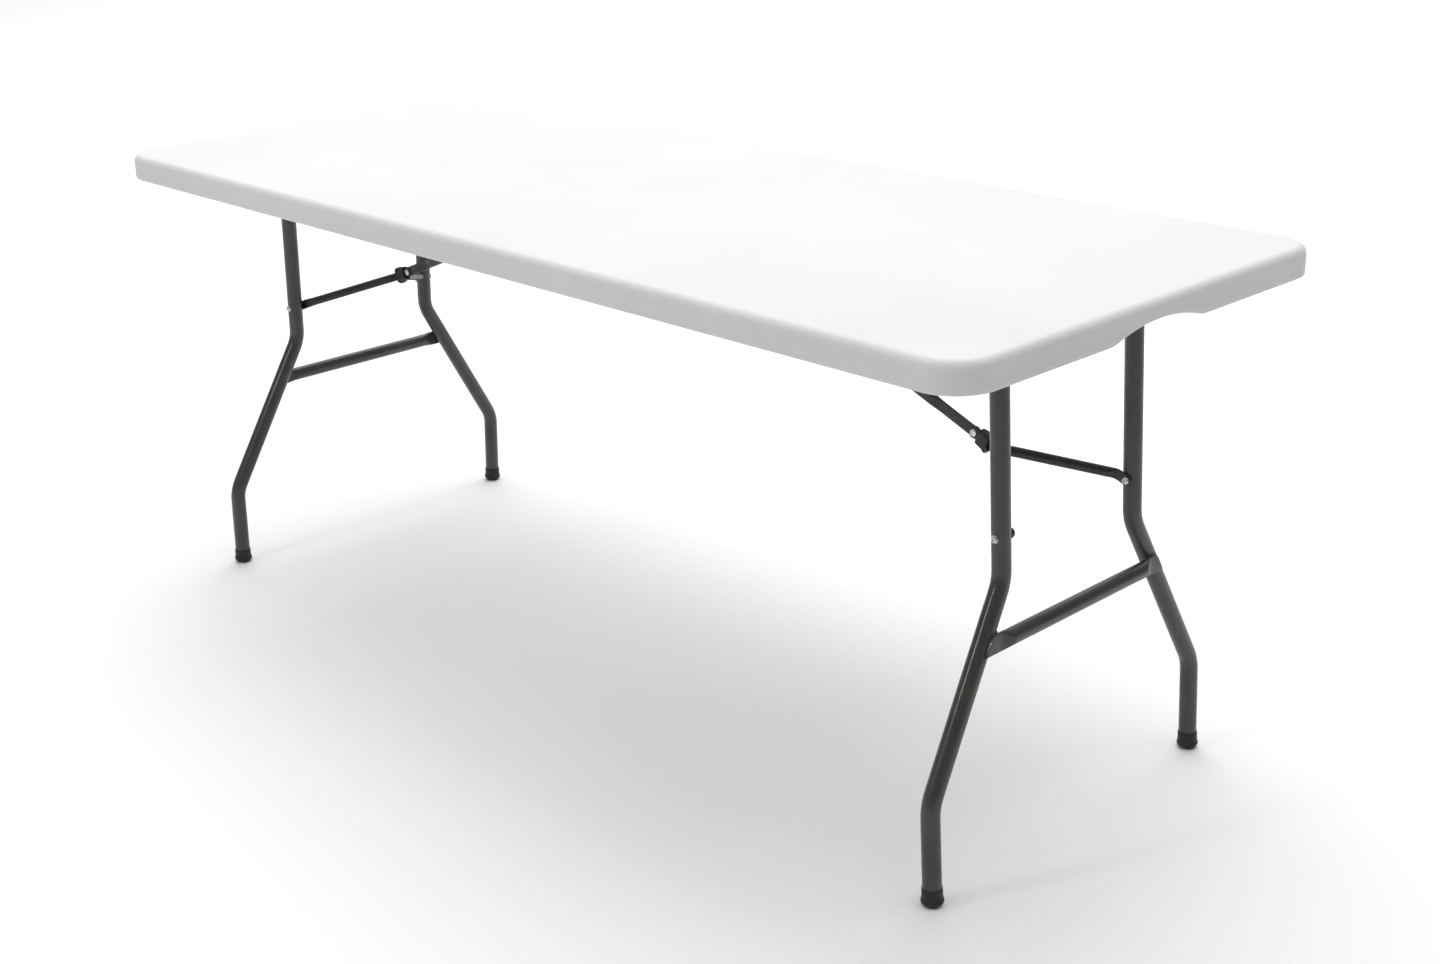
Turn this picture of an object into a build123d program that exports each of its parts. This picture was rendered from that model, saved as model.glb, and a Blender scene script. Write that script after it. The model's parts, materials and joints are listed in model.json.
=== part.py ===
from build123d import *
import math
import os

# Folding table with a one-piece blow-moulded top and two folding leg frames.
# Millimetres. The origin is on the floor under the middle of the table.
# +X runs along the length, +Y across the width and +Z up. The two ends are mirror images in X.

os.makedirs("parts", exist_ok=True)

# Overall size
table_length = 1800
table_width = 740
table_height = 740

# Top panel
skirt_height = 40
corner_radius = 58
top_edge_radius = 13
skirt_thickness = 16
panel_thickness = 13.5
wall = 2.4
channel_half_width = 20
channel_start = 150
channel_end = 706
channel_roof = 735
arch_half_width = 92
arch_height = 15
dimple_pitch_x = 120
dimple_rows = (75, 150, 225, 285)
dimple_depth = 8

# Leg frame
pivot_x = 768.6
pivot_z = 712
splay_deg = 2.85
leg_radius = 12.5
leg_wall = 1.2
leg_upper_y = 139
leg_foot_y = 283.5
upper_bend_z = 388.5
lower_bend_z = 136
bend_radius = 62
crossbar_radius = 11
crossbar_z = 318.5
crossbar_offset = 14.2

# Side rails and pivots
rail_length = 1600
rail_inner_y = 312
rail_outer_y = 334
rail_depth = 25
rail_wall = 1.5
journal_radius = 7
bush_radius = 8.5
running_clearance = 0.05

# Brace
bracket_pin_x = 118
bracket_pin_z = 717
leg_bolt_z = 446
stem_tilt_folded_deg = 0.2
stem_half_thickness = 5.2
stem_half_height = 8.2
stem_corner = 4.5
stem_wall = 1.4
stem_eye_half_thickness = 5
tongue_half_thickness = 1.5
arm_radius = 7
arm_apex = 35.6
arm_angle_deg = 47.2
strap_inner_y = 1.7
strap_thickness = 1.6
strap_half_height = 6.8
lug_thickness = 3.1
bolt_radius = 3
bolt_head_radius = 5.2
bolt_head_height = 3
hinge_head_height = 1.9
leg_head_radius = 4.4
cap_nut_radius = 7
cap_nut_height = 5.2

# Lock ring
ring_start = 8
ring_length = 20
ring_bore_half_width = 5.6
ring_bore_half_height = 9.8
ring_wall = 1.2

# Derived sizes
underside_z = table_height - panel_thickness
skirt_z = table_height - skirt_height
splay = math.radians(splay_deg)
leg_length = pivot_z / math.cos(splay)
bolt_down = (pivot_z - leg_bolt_z) / math.cos(splay)
crossbar_down = (pivot_z - crossbar_z + crossbar_offset * math.sin(splay)) / math.cos(splay)
upper_bend_down = (pivot_z - upper_bend_z) / math.cos(splay)
lower_bend_down = (pivot_z - lower_bend_z) / math.cos(splay)
slant = (leg_foot_y - leg_upper_y) / (lower_bend_down - upper_bend_down)

# The brace runs straight from the bracket pin to the leg bolts when the table stands. Its hinge is
# placed so that the same two lengths also close when the legs lie flat under the top.
leg_bolt_x = pivot_x + bolt_down * math.sin(splay)
brace_run = leg_bolt_x - bracket_pin_x
brace_drop = bracket_pin_z - leg_bolt_z
brace_length = math.hypot(brace_run, brace_drop)
brace_angle = math.atan2(brace_drop, brace_run)
folded_gap_x = bracket_pin_x - (pivot_x - bolt_down)
folded_gap_z = bracket_pin_z - pivot_z
tilt = math.radians(stem_tilt_folded_deg)
along = folded_gap_x * math.cos(tilt) + folded_gap_z * math.sin(tilt)
gap_squared = folded_gap_x ** 2 + folded_gap_z ** 2
yoke_length = (gap_squared + 2 * brace_length * along + brace_length ** 2) / (2 * (along + brace_length))
stem_length = brace_length - yoke_length
hinge_x = bracket_pin_x + stem_length * math.cos(brace_angle)
hinge_z = bracket_pin_z - stem_length * math.sin(brace_angle)

leg_place = Location((pivot_x, 0, pivot_z), (0, -splay_deg, 0))
brace_place = Plane(
    origin=(hinge_x, 0, hinge_z),
    x_dir=(math.cos(brace_angle), 0, -math.sin(brace_angle)),
    z_dir=(math.sin(brace_angle), 0, math.cos(brace_angle)),
).location


def cylinder_y(radius, y_low, y_high, x=0, z=0):
    """A cylinder along Y between two heights."""
    middle = (y_low + y_high) / 2
    return Pos(x, middle, z) * Rot(90, 0, 0) * Cylinder(radius, y_high - y_low)


def cylinder_x(radius, x_low, x_high, y=0, z=0):
    """A cylinder along X."""
    return Pos((x_low + x_high) / 2, y, z) * Rot(0, 90, 0) * Cylinder(radius, x_high - x_low)


def cylinder_z(radius, z_low, z_high, x=0, y=0):
    """A cylinder along Z."""
    return Pos(x, y, (z_low + z_high) / 2) * Cylinder(radius, z_high - z_low)


def block(x_low, x_high, y_low, y_high, z_low, z_high):
    """A box between two corners."""
    size = Box(x_high - x_low, y_high - y_low, z_high - z_low)
    return Pos((x_low + x_high) / 2, (y_low + y_high) / 2, (z_low + z_high) / 2) * size


def both_y(shape):
    """The shape and its mirror image in the XZ plane."""
    return [shape, mirror(shape, about=Plane.XZ)]


def both_x(shape):
    """The shape and its mirror image in the YZ plane."""
    return [shape, mirror(shape, about=Plane.YZ)]


def write(name, shapes):
    """Writes one node, from one solid or a list of separate solids."""
    solids = []
    for shape in shapes:
        solids.extend(shape.solids())
    node = solids[0] if len(solids) == 1 else Compound(children=solids)
    node.label = name
    export_step(node, "parts/" + name + ".step")


def write_pair(name, shapes):
    """Writes a right-hand node and its mirror image for the left end."""
    write(name + "_right", shapes)
    write(name + "_left", [mirror(shape, about=Plane.YZ) for shape in shapes])


# ---------------------------------------------------------------- tabletop

rail_screw_x = [side * x for x in (140, 420, 700) for side in (-1, 1)]
rail_screw_y = (rail_inner_y + rail_outer_y) / 2
bracket_screw_dx = 15
bracket_screw_y = 22
screw_radius = 2
screw_depth = 8


def screw_places():
    """The centres of every screw that goes up into the panel."""
    places = [(x, side * rail_screw_y) for x in rail_screw_x for side in (-1, 1)]
    for end in (-1, 1):
        for dx in (-bracket_screw_dx, bracket_screw_dx):
            places.extend((end * (bracket_pin_x + dx), side * bracket_screw_y) for side in (-1, 1))
    return places


def dimple_places():
    """The centres of the moulded dimples that tie the two skins of the panel together."""
    columns = int(table_length / 2 / dimple_pitch_x)
    places = []
    for column in range(columns):
        x = (column + 0.5) * dimple_pitch_x
        for y in dimple_rows:
            places.extend((sx * x, sy * y) for sx in (-1, 1) for sy in (-1, 1))
    return places


def rounded_slab(inset, z_low, z_high):
    """A slab with the table's outline, moved in by an inset."""
    outline = RectangleRounded(table_length - 2 * inset, table_width - 2 * inset, corner_radius - inset)
    return Pos(0, 0, z_low) * extrude(outline, z_high - z_low)


def arch_cutter():
    """The gentle arc cut from the lower edge of the right-hand end skirt."""
    low = skirt_z - 2
    curve = ThreePointArc(
        (-arch_half_width, skirt_z),
        (0, skirt_z + arch_height),
        (arch_half_width, skirt_z),
    )
    edge = Polyline(
        (arch_half_width, skirt_z),
        (arch_half_width, low),
        (-arch_half_width, low),
        (-arch_half_width, skirt_z),
    )
    depth = 60
    return extrude(Plane.YZ.offset(table_length / 2 - depth / 2) * make_face([curve, edge]), depth)


def make_tabletop():
    """The hollow panel: two skins, a hollow skirt, tie dimples and screw bosses."""
    top = rounded_slab(0, skirt_z, table_height)
    top = fillet(top.faces().sort_by(Axis.Z)[-1].edges(), top_edge_radius)
    top = fillet(top.faces().sort_by(Axis.Z)[0].edges(), 2.5)
    recess = rounded_slab(skirt_thickness, skirt_z - 1, underside_z)
    recess = fillet(recess.faces().sort_by(Axis.Z)[-1].edges(), 5)
    top -= recess
    arch = arch_cutter()
    for cutter in both_x(arch):
        top -= cutter

    void = rounded_slab(wall, skirt_z + wall, table_height - wall)
    void = fillet(void.faces().sort_by(Axis.Z)[-1].edges(), top_edge_radius - wall)
    void -= rounded_slab(skirt_thickness - wall, skirt_z - 1, underside_z + wall)
    arch_half = arch_half_width + wall
    arch_cover = block(table_length / 2 - 2 * skirt_thickness, table_length / 2, -arch_half, arch_half,
                       skirt_z, skirt_z + arch_height + wall)
    for cover in both_x(arch_cover):
        void -= cover
    channel_width = 2 * channel_half_width
    for end in (-1, 1):
        middle = end * (channel_start + channel_end) / 2
        length = channel_end - channel_start
        channel = Pos(middle, 0, underside_z - 1) * extrude(
            RectangleRounded(length, channel_width, 12), channel_roof - underside_z + 1
        )
        cover = Pos(middle, 0, underside_z - 1) * extrude(
            RectangleRounded(length + 2 * wall, channel_width + 2 * wall, 12 + wall), panel_thickness + 2
        )
        top -= channel
        void -= cover
    dimple_top = 6
    dimple_slope = 4
    dimples = []
    covers = []
    for x, y in dimple_places():
        cone = Cone(dimple_top + dimple_slope, dimple_top, dimple_depth + 1)
        dimples.append(Pos(x, y, underside_z + (dimple_depth - 1) / 2) * cone)
        shell = Cone(dimple_top + dimple_slope + wall, dimple_top + wall, panel_thickness)
        covers.append(Pos(x, y, underside_z + panel_thickness / 2) * shell)
    for x, y in screw_places():
        dimples.append(cylinder_z(screw_radius, underside_z - 1, underside_z + screw_depth, x, y))
        covers.append(cylinder_z(7, underside_z, table_height, x, y))
    top -= dimples
    void -= covers
    return top - void


write("tabletop", [make_tabletop()])

# ---------------------------------------------------------------- side rails


def make_rail():
    """A channel section, open downwards, with a hole for each bush and clearance for the screws."""
    half = rail_length / 2
    low = underside_z - rail_depth
    rail = block(-half, half, rail_inner_y, rail_outer_y, low, underside_z)
    inner = block(-half - 1, half + 1, rail_inner_y + rail_wall, rail_outer_y - rail_wall, low - 1,
                  underside_z - rail_wall)
    rail -= inner
    for end in (-1, 1):
        rail -= cylinder_y(bush_radius, rail_inner_y - 1, rail_outer_y + 1, end * pivot_x, pivot_z)
    for x in rail_screw_x:
        rail -= cylinder_z(screw_radius, underside_z - 2, underside_z + 1, x, rail_screw_y)
    return rail


def make_bush():
    """A flanged bush through both walls of a rail."""
    flange_y = rail_inner_y - rail_wall
    bush = cylinder_y(bush_radius, flange_y, rail_outer_y, pivot_x, pivot_z)
    bush += cylinder_y(bush_radius + 2, flange_y, rail_inner_y, pivot_x, pivot_z)
    return bush - cylinder_y(journal_radius + running_clearance, 0, table_width, pivot_x, pivot_z)


def make_screw(x, y, seat_z, head_radius, head_height):
    """A pan-head screw driven upwards, with its head's bearing face at seat_z."""
    head = cylinder_z(head_radius, seat_z - head_height, seat_z, x, y)
    head = fillet(head.faces().sort_by(Axis.Z)[0].edges(), head_height * 0.45)
    slot_depth = head_height * 0.4
    for angle in (0, 90):
        slot = Rot(0, 0, angle) * Box(head_radius * 1.1, 0.9, slot_depth)
        head -= Pos(x, y, seat_z - head_height + slot_depth / 2) * slot
    return head + cylinder_z(screw_radius, seat_z, underside_z + screw_depth - 0.5, x, y)


rail = make_rail()
write("side_rail_rear", [rail])
write("side_rail_front", [mirror(rail, about=Plane.XZ)])

bushes = []
for bush in both_y(make_bush()):
    bushes.extend(both_x(bush))
write("pivot_bushes", bushes)

rail_screws = []
for x in rail_screw_x:
    for side in (-1, 1):
        rail_screws.append(make_screw(x, side * rail_screw_y, underside_z - rail_wall, 4, 2.4))
write("rail_screws", rail_screws)

# ---------------------------------------------------------------- brace brackets

bracket_plate = 1.5
ear_inner_y = stem_eye_half_thickness + 0.6
ear_outer_y = ear_inner_y + bracket_plate


def make_bracket():
    """A plate under the panel with two ears that hold the pin of the upper brace."""
    plate_half_x = 23
    plate_half_y = 30
    ear_half_x = 8
    plate_low = underside_z - bracket_plate
    outline = RectangleRounded(2 * plate_half_x, 2 * plate_half_y, 6)
    bracket = Pos(bracket_pin_x, 0, plate_low) * extrude(outline, bracket_plate)
    for side in (-1, 1):
        y_low = min(side * ear_inner_y, side * ear_outer_y)
        ear = block(bracket_pin_x - ear_half_x, bracket_pin_x + ear_half_x, y_low, y_low + bracket_plate,
                    bracket_pin_z, plate_low)
        ear += cylinder_y(ear_half_x, y_low, y_low + bracket_plate, bracket_pin_x, bracket_pin_z)
        bracket += ear
    bracket -= cylinder_y(bolt_radius, -20, 20, bracket_pin_x, bracket_pin_z)
    for dx in (-bracket_screw_dx, bracket_screw_dx):
        for side in (-1, 1):
            hole = cylinder_z(screw_radius, plate_low - 1, underside_z + 1)
            bracket -= Pos(bracket_pin_x + dx, side * bracket_screw_y, 0) * hole
    return bracket


def make_bracket_pin():
    """A headed pin through both ears, spread at its far end."""
    pin = cylinder_y(bolt_radius, -ear_outer_y, ear_outer_y + 1.5, bracket_pin_x, bracket_pin_z)
    head = cylinder_y(4.5, -ear_outer_y - 2, -ear_outer_y, bracket_pin_x, bracket_pin_z)
    head = fillet(head.faces().sort_by(Axis.Y)[0].edges(), 0.9)
    spread = cylinder_y(3.8, ear_outer_y, ear_outer_y + 1.5, bracket_pin_x, bracket_pin_z)
    return pin + head + spread


write_pair("brace_bracket", [make_bracket()])
write_pair("brace_pin", [make_bracket_pin()])

bracket_screws = []
for end in (-1, 1):
    for dx in (-bracket_screw_dx, bracket_screw_dx):
        for side in (-1, 1):
            x = end * (bracket_pin_x + dx)
            y = side * bracket_screw_y
            bracket_screws.append(make_screw(x, y, underside_z - bracket_plate, 3.8, 2.2))
write("bracket_screws", bracket_screws)

# ---------------------------------------------------------------- leg frame
# Built hanging straight down from the pivot axis, with local X pointing outwards, then splayed.

pivot_shoulder_y = 309.5
journal_end_y = 336.5


def make_pivot_tube():
    """The tube across the table that the legs are welded to, with a reduced journal at each end."""
    body = cylinder_y(leg_radius, -pivot_shoulder_y, pivot_shoulder_y)
    body += cylinder_y(journal_radius, -journal_end_y, journal_end_y)
    bore_end = pivot_shoulder_y - 4
    body -= cylinder_y(leg_radius - leg_wall, -bore_end, bore_end)
    return body - cylinder_y(journal_radius - 1.5, -journal_end_y, journal_end_y)


def leg_line():
    """The centreline of a rear leg, from the pivot to just inside the foot cap."""
    return FilletPolyline(
        (0, leg_upper_y, 0),
        (0, leg_upper_y, -upper_bend_down),
        (0, leg_foot_y, -lower_bend_down),
        (0, leg_foot_y, -leg_length + foot_floor),
        radius=bend_radius,
    )


foot_floor = 5
foot_height = 25
foot_mouth_radius = 13.4
foot_flare_radius = 15
foot_sole_radius = 9


def swept_round(path, radius):
    """A round bar along a path."""
    section = Plane(origin=path @ 0, x_dir=(1, 0, 0), z_dir=path % 0) * Circle(radius)
    return sweep(section, path=path)


def make_leg():
    """A bent tube, notched round the pivot tube and drilled for its bolt."""
    path = leg_line()
    leg = swept_round(path, leg_radius) - swept_round(path, leg_radius - leg_wall)
    leg -= cylinder_y(leg_radius, 0, table_width / 2)
    leg -= block(-20, 20, 0, table_width / 2, 0, 30)
    return leg - cylinder_y(bolt_radius, 0, table_width / 2, 0, -bolt_down)


def make_foot_cap():
    """A push-on cap with a flared lip and a rounded sole, cut flat where it meets the floor."""
    sunk = 0.6
    flare_height = 8
    outline = Polyline(
        (0, -sunk),
        (foot_sole_radius, -sunk),
        (foot_flare_radius, flare_height - 2.5),
        (foot_flare_radius, flare_height),
        (foot_mouth_radius, flare_height + 5),
        (foot_mouth_radius, foot_height),
        (leg_radius, foot_height),
        (leg_radius, foot_floor),
        (0, foot_floor),
        close=True,
    )
    cap = revolve(Plane.XZ * make_face(outline), Axis.Z)
    lip = [edge for edge in cap.edges() if abs(edge.center().Z - flare_height + 2.5) < 0.1]
    lip += [edge for edge in cap.edges() if abs(edge.center().Z + sunk) < 0.1]
    cap = fillet(lip, 2)
    cap = leg_place * Pos(0, leg_foot_y, -leg_length) * cap
    return cap & block(0, table_length, 0, table_width, 0, 100)


def make_crossbar():
    """A round tube whose flattened ends lap the outer face of both legs and are trimmed along them."""
    round_end = 142
    flat_start = 160
    flat_thickness = 4.4
    flat_half_height = 12.8
    overhang = 3
    lap_x = leg_radius - 0.6
    bar = cylinder_y(crossbar_radius, -round_end, round_end, crossbar_offset)
    bar -= cylinder_y(crossbar_radius - 1.3, -round_end + 3, round_end - 3, crossbar_offset)
    leg_y = leg_upper_y + (crossbar_down - upper_bend_down) * slant
    end_low = leg_y + overhang + flat_half_height * slant
    end_high = leg_y + overhang - flat_half_height * slant
    corners = Polyline(
        (flat_start, -flat_half_height),
        (end_low, -flat_half_height),
        (end_high, flat_half_height),
        (flat_start, flat_half_height),
        close=True,
    )
    lap_plane = Plane(origin=(lap_x, 0, 0), x_dir=(0, 1, 0), z_dir=(1, 0, 0))
    flat = extrude(lap_plane * make_face(corners), flat_thickness)
    flat = fillet(flat.edges().filter_by(Axis.X).group_by(Axis.Y)[-1], 4)
    flat_middle = lap_x + flat_thickness / 2
    round_face = Plane(origin=(crossbar_offset, round_end, 0), x_dir=(1, 0, 0), z_dir=(0, 1, 0))
    flat_face = Plane(origin=(flat_middle, flat_start, 0), x_dir=(1, 0, 0), z_dir=(0, 1, 0))
    neck = loft([
        round_face * Circle(crossbar_radius),
        flat_face * RectangleRounded(flat_thickness, 2 * flat_half_height, 1.5),
    ])
    for end in both_y(flat + neck):
        bar += end
    return Pos(0, 0, -crossbar_down) * bar


def make_leg_bolt():
    """A bolt with a domed head and a washer outside the leg, flush at the leg's inner side."""
    outer_y = leg_upper_y + leg_radius
    washer = cylinder_y(leg_head_radius + 1, outer_y - 0.3, outer_y + 0.8)
    head = cylinder_y(leg_head_radius, outer_y + 0.8, outer_y + 0.8 + bolt_head_height)
    head = fillet(head.faces().sort_by(Axis.Y)[-1].edges(), 1.8)
    shank = cylinder_y(bolt_radius, leg_upper_y - leg_radius + 0.2, outer_y)
    return Pos(0, 0, -bolt_down) * (washer + head + shank)


def make_leg_nut():
    """A low rounded nut outside the leg, with its sleeve through the leg."""
    outer_y = leg_upper_y + leg_radius
    low_height = 1.3
    nut = cylinder_y(leg_head_radius + 1, outer_y - 0.3, outer_y + low_height)
    nut = fillet(nut.faces().sort_by(Axis.Y)[-1].edges(), 0.9)
    shank = cylinder_y(bolt_radius, leg_upper_y - leg_radius + 0.2, outer_y)
    return Pos(0, 0, -bolt_down) * (nut + shank)


leg = make_leg()
crossbar = make_crossbar()
leg_solid = swept_round(leg_line(), leg_radius)
for side in both_y(leg_solid):
    crossbar -= side
write_pair("pivot_tube", [leg_place * make_pivot_tube()])
write_pair("leg_rear", [leg_place * leg])
write_pair("leg_front", [leg_place * mirror(leg, about=Plane.XZ)])
write_pair("crossbar", [leg_place * crossbar])
foot_cap = make_foot_cap()
write_pair("foot_cap_rear", [foot_cap])
write_pair("foot_cap_front", [mirror(foot_cap, about=Plane.XZ)])
write_pair("leg_bolt_front", [leg_place * mirror(make_leg_bolt() - leg, about=Plane.XZ)])
write_pair("leg_nut_rear", [leg_place * (make_leg_nut() - leg)])

# ---------------------------------------------------------------- brace
# Built with local X along the brace from its hinge towards the legs, and local Z square to it.

strap_outer_y = strap_inner_y + strap_thickness
lug_outer_y = leg_upper_y - leg_radius - 0.6
lug_inner_y = lug_outer_y - lug_thickness


def arm_point(x):
    """A point on the straight part of an arm's centreline."""
    return (x, (x - arm_apex) * math.tan(math.radians(arm_angle_deg)), 0)


def make_arm():
    """A tube with a flattened strap at the hinge and a flattened lug at the leg."""
    strap_eye_radius = 8.2
    strap_end = ring_start + ring_length + 3
    tube_start = 54
    tube_end = yoke_length - 26
    lug_start = yoke_length - 14
    lug_radius = 7.6
    strap = block(0, strap_end, strap_inner_y, strap_outer_y, -strap_half_height, strap_half_height)
    strap += cylinder_y(strap_eye_radius, strap_inner_y, strap_outer_y)
    lug = block(lug_start, yoke_length, lug_inner_y, lug_outer_y, -lug_radius, lug_radius)
    lug += cylinder_y(lug_radius, lug_inner_y, lug_outer_y, yoke_length)

    direction = Vector(*arm_point(tube_end)) - Vector(*arm_point(tube_start))
    start_plane = Plane(origin=arm_point(tube_start), x_dir=(0, 0, 1), z_dir=direction)
    end_plane = Plane(origin=arm_point(tube_end), x_dir=(0, 0, 1), z_dir=direction)
    tube = extrude(start_plane * Circle(arm_radius), direction.length)
    bore = extrude(start_plane * Circle(arm_radius - 1.2), direction.length)
    strap_y = (strap_inner_y + strap_outer_y) / 2
    lug_y = (lug_inner_y + lug_outer_y) / 2
    strap_plane = Plane(origin=(strap_end, strap_y, 0), x_dir=(0, 0, 1), z_dir=(1, 0, 0))
    lug_plane = Plane(origin=(lug_start, lug_y, 0), x_dir=(0, 0, 1), z_dir=(1, 0, 0))
    root = loft([
        strap_plane * RectangleRounded(2 * strap_half_height, strap_thickness, 0.6),
        start_plane * Circle(arm_radius),
    ])
    tip = loft([
        lug_plane * RectangleRounded(2 * lug_radius, lug_thickness, 1),
        end_plane * Circle(arm_radius),
    ])
    arm = tube - bore + root + tip + strap + lug
    arm -= cylinder_y(bolt_radius, 0, 20)
    return arm - cylinder_y(bolt_radius, lug_inner_y - 5, lug_outer_y + 5, yoke_length)


def make_arm_nut():
    """The rounded cap nut on the inner side of the front lug, with its sleeve through the lug."""
    nut = cylinder_y(cap_nut_radius, lug_inner_y - cap_nut_height, lug_inner_y, yoke_length)
    nut = fillet(nut.faces().sort_by(Axis.Y)[0].edges(), 3.6)
    return nut + cylinder_y(bolt_radius, lug_inner_y, lug_outer_y, yoke_length)


def make_arm_bolt():
    """The domed bolt head on the inner side of the rear lug, with its shank through the lug."""
    head = cylinder_y(bolt_head_radius, lug_inner_y - bolt_head_height, lug_inner_y, yoke_length)
    head = fillet(head.faces().sort_by(Axis.Y)[0].edges(), 2)
    return head + cylinder_y(bolt_radius, lug_inner_y, lug_outer_y, yoke_length)


def make_stem():
    """The upper brace: an oval tube with a flattened tongue at the hinge and an eye at the bracket."""
    tongue_end = 24
    flat_end = -60
    tube_start = -78
    tube_end = -(stem_length - 42)
    eye_start = -(stem_length - 22)
    eye_radius = 7.3
    half = tongue_half_thickness
    eye_half = stem_eye_half_thickness
    tongue = block(0, tongue_end, -half, half, -strap_half_height, strap_half_height)
    tongue = fillet(tongue.edges().filter_by(Axis.Y).group_by(Axis.X)[-1], 5)
    flat = block(flat_end, 0, -half, half, -stem_half_height, stem_half_height)
    flat += cylinder_y(stem_half_height, -half, half)
    eye = block(-stem_length, eye_start, -eye_half, eye_half, -eye_radius, eye_radius)
    eye += cylinder_y(eye_radius, -eye_half, eye_half, -stem_length)

    def across(x):
        return Plane(origin=(x, 0, 0), x_dir=(0, 1, 0), z_dir=(1, 0, 0))

    def oval(inset):
        return RectangleRounded(
            2 * (stem_half_thickness - inset),
            2 * (stem_half_height - inset),
            stem_corner - inset,
        )

    tube = extrude(across(tube_end) * (oval(0) - oval(stem_wall)), tube_start - tube_end)
    hinge_neck = loft([
        across(tube_start) * oval(0),
        across(flat_end) * RectangleRounded(2 * half, 2 * stem_half_height, 1.3),
    ])
    bracket_neck = loft([
        across(eye_start) * RectangleRounded(2 * eye_half, 2 * eye_radius, 2),
        across(tube_end) * oval(0),
    ])
    stem = tube + hinge_neck + bracket_neck + flat + tongue + eye
    hole = bolt_radius + running_clearance
    stem -= cylinder_y(hole, -20, 20)
    return stem - cylinder_y(hole, -20, 20, -stem_length)


def make_hinge_bolt():
    """The bolt through the straps and the tongue, with a low cross-slotted head on the front."""
    slot_length = 5.6
    slot_width = 1.4
    slot_depth = 0.6
    shank = cylinder_y(bolt_radius, -strap_outer_y, strap_outer_y)
    head = cylinder_y(bolt_head_radius, -strap_outer_y - hinge_head_height, -strap_outer_y)
    head = fillet(head.faces().sort_by(Axis.Y)[0].edges(), 1.2)
    for angle in (0, 90):
        slot = Rot(0, angle, 0) * Box(slot_length, 2 * slot_depth, slot_width)
        head -= Pos(0, -strap_outer_y - hinge_head_height, 0) * slot
    return shank + head


def make_hinge_nut():
    """The low hexagon nut on the rear strap."""
    nut = extrude(Plane.XZ.offset(-strap_outer_y) * RegularPolygon(5.7, 6), -hinge_head_height)
    thread_radius = 2
    return nut - cylinder_y(thread_radius, strap_outer_y - 1, strap_outer_y + 2)


def make_lock_ring():
    """A flat oval sleeve that slides over the hinge, flaring to a wide flange on its leg side."""
    flare = 2
    flange_thickness = 4
    flange_overlap = 4.4
    ring_end = ring_start + ring_length

    def oval(x, margin):
        across = Plane(origin=(x, 0, 0), x_dir=(0, 1, 0), z_dir=(1, 0, 0))
        half_width = ring_bore_half_width + margin
        half_height = ring_bore_half_height + margin
        return across * RectangleRounded(2 * half_width, 2 * half_height, 3 + margin)

    sleeve = loft([oval(ring_start, ring_wall), oval(ring_end - flange_thickness, ring_wall + flare)])
    flange = extrude(oval(ring_end - flange_thickness, flange_overlap), flange_thickness)
    ring = sleeve + fillet(flange.edges(), 1)
    return ring - extrude(oval(ring_start - 1, 0), ring_length + 2)


arm = make_arm()
write_pair("yoke_arm_rear", [brace_place * arm])
write_pair("yoke_arm_front", [brace_place * mirror(arm, about=Plane.XZ)])
write_pair("yoke_nut_front", [brace_place * mirror(make_arm_nut(), about=Plane.XZ)])
write_pair("yoke_bolt_rear", [brace_place * make_arm_bolt()])
write_pair("brace_stem", [brace_place * make_stem()])
write_pair("hinge_bolt", [brace_place * make_hinge_bolt()])
write_pair("hinge_nut", [brace_place * make_hinge_nut()])
write_pair("lock_ring", [brace_place * make_lock_ring()])
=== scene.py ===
import json
import math
import random

import bmesh
import bpy
from mathutils import Matrix, Vector


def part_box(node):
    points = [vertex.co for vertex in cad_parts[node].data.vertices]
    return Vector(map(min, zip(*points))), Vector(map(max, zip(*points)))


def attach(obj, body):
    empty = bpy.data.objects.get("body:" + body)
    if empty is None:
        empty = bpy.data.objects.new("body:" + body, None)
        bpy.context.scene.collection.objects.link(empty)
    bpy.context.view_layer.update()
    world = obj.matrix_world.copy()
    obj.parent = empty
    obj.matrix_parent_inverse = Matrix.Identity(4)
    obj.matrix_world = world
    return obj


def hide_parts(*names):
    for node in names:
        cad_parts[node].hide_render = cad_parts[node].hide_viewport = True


# Looks of the folding table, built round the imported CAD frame. Metres, same axes as the CAD: +X along
# the length, +Y across, +Z up. Parts of the right-hand end are built first and mirrored in X.

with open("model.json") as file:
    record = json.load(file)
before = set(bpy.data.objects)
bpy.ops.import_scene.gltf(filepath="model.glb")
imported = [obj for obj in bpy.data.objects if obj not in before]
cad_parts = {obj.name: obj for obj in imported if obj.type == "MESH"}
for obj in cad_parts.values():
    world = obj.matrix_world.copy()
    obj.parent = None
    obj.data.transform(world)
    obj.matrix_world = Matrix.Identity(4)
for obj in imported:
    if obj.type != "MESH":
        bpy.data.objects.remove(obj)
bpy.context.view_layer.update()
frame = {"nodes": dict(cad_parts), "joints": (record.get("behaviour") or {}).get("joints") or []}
nodes = frame["nodes"]
joints = {joint["name"]: joint for joint in frame["joints"]}

# ---------------------------------------------------------------- places, from the frame

pivot = Vector(joints["leg_fold_right"]["pos_m"])
splay = math.radians(joints["leg_fold_right"]["range_deg"][1] - 90)
pin = Vector(joints["brace_swing_right"]["pos_m"])
hinge = Vector(joints["brace_hinge_right"]["pos_m"])
stem_length = (hinge - pin).length
top_low, top_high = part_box("tabletop")
table_half_x = top_high.x
table_half_y = top_high.y
skirt_z = top_low.z
table_z = top_high.z
underside_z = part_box("side_rail_rear")[1].z

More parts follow.
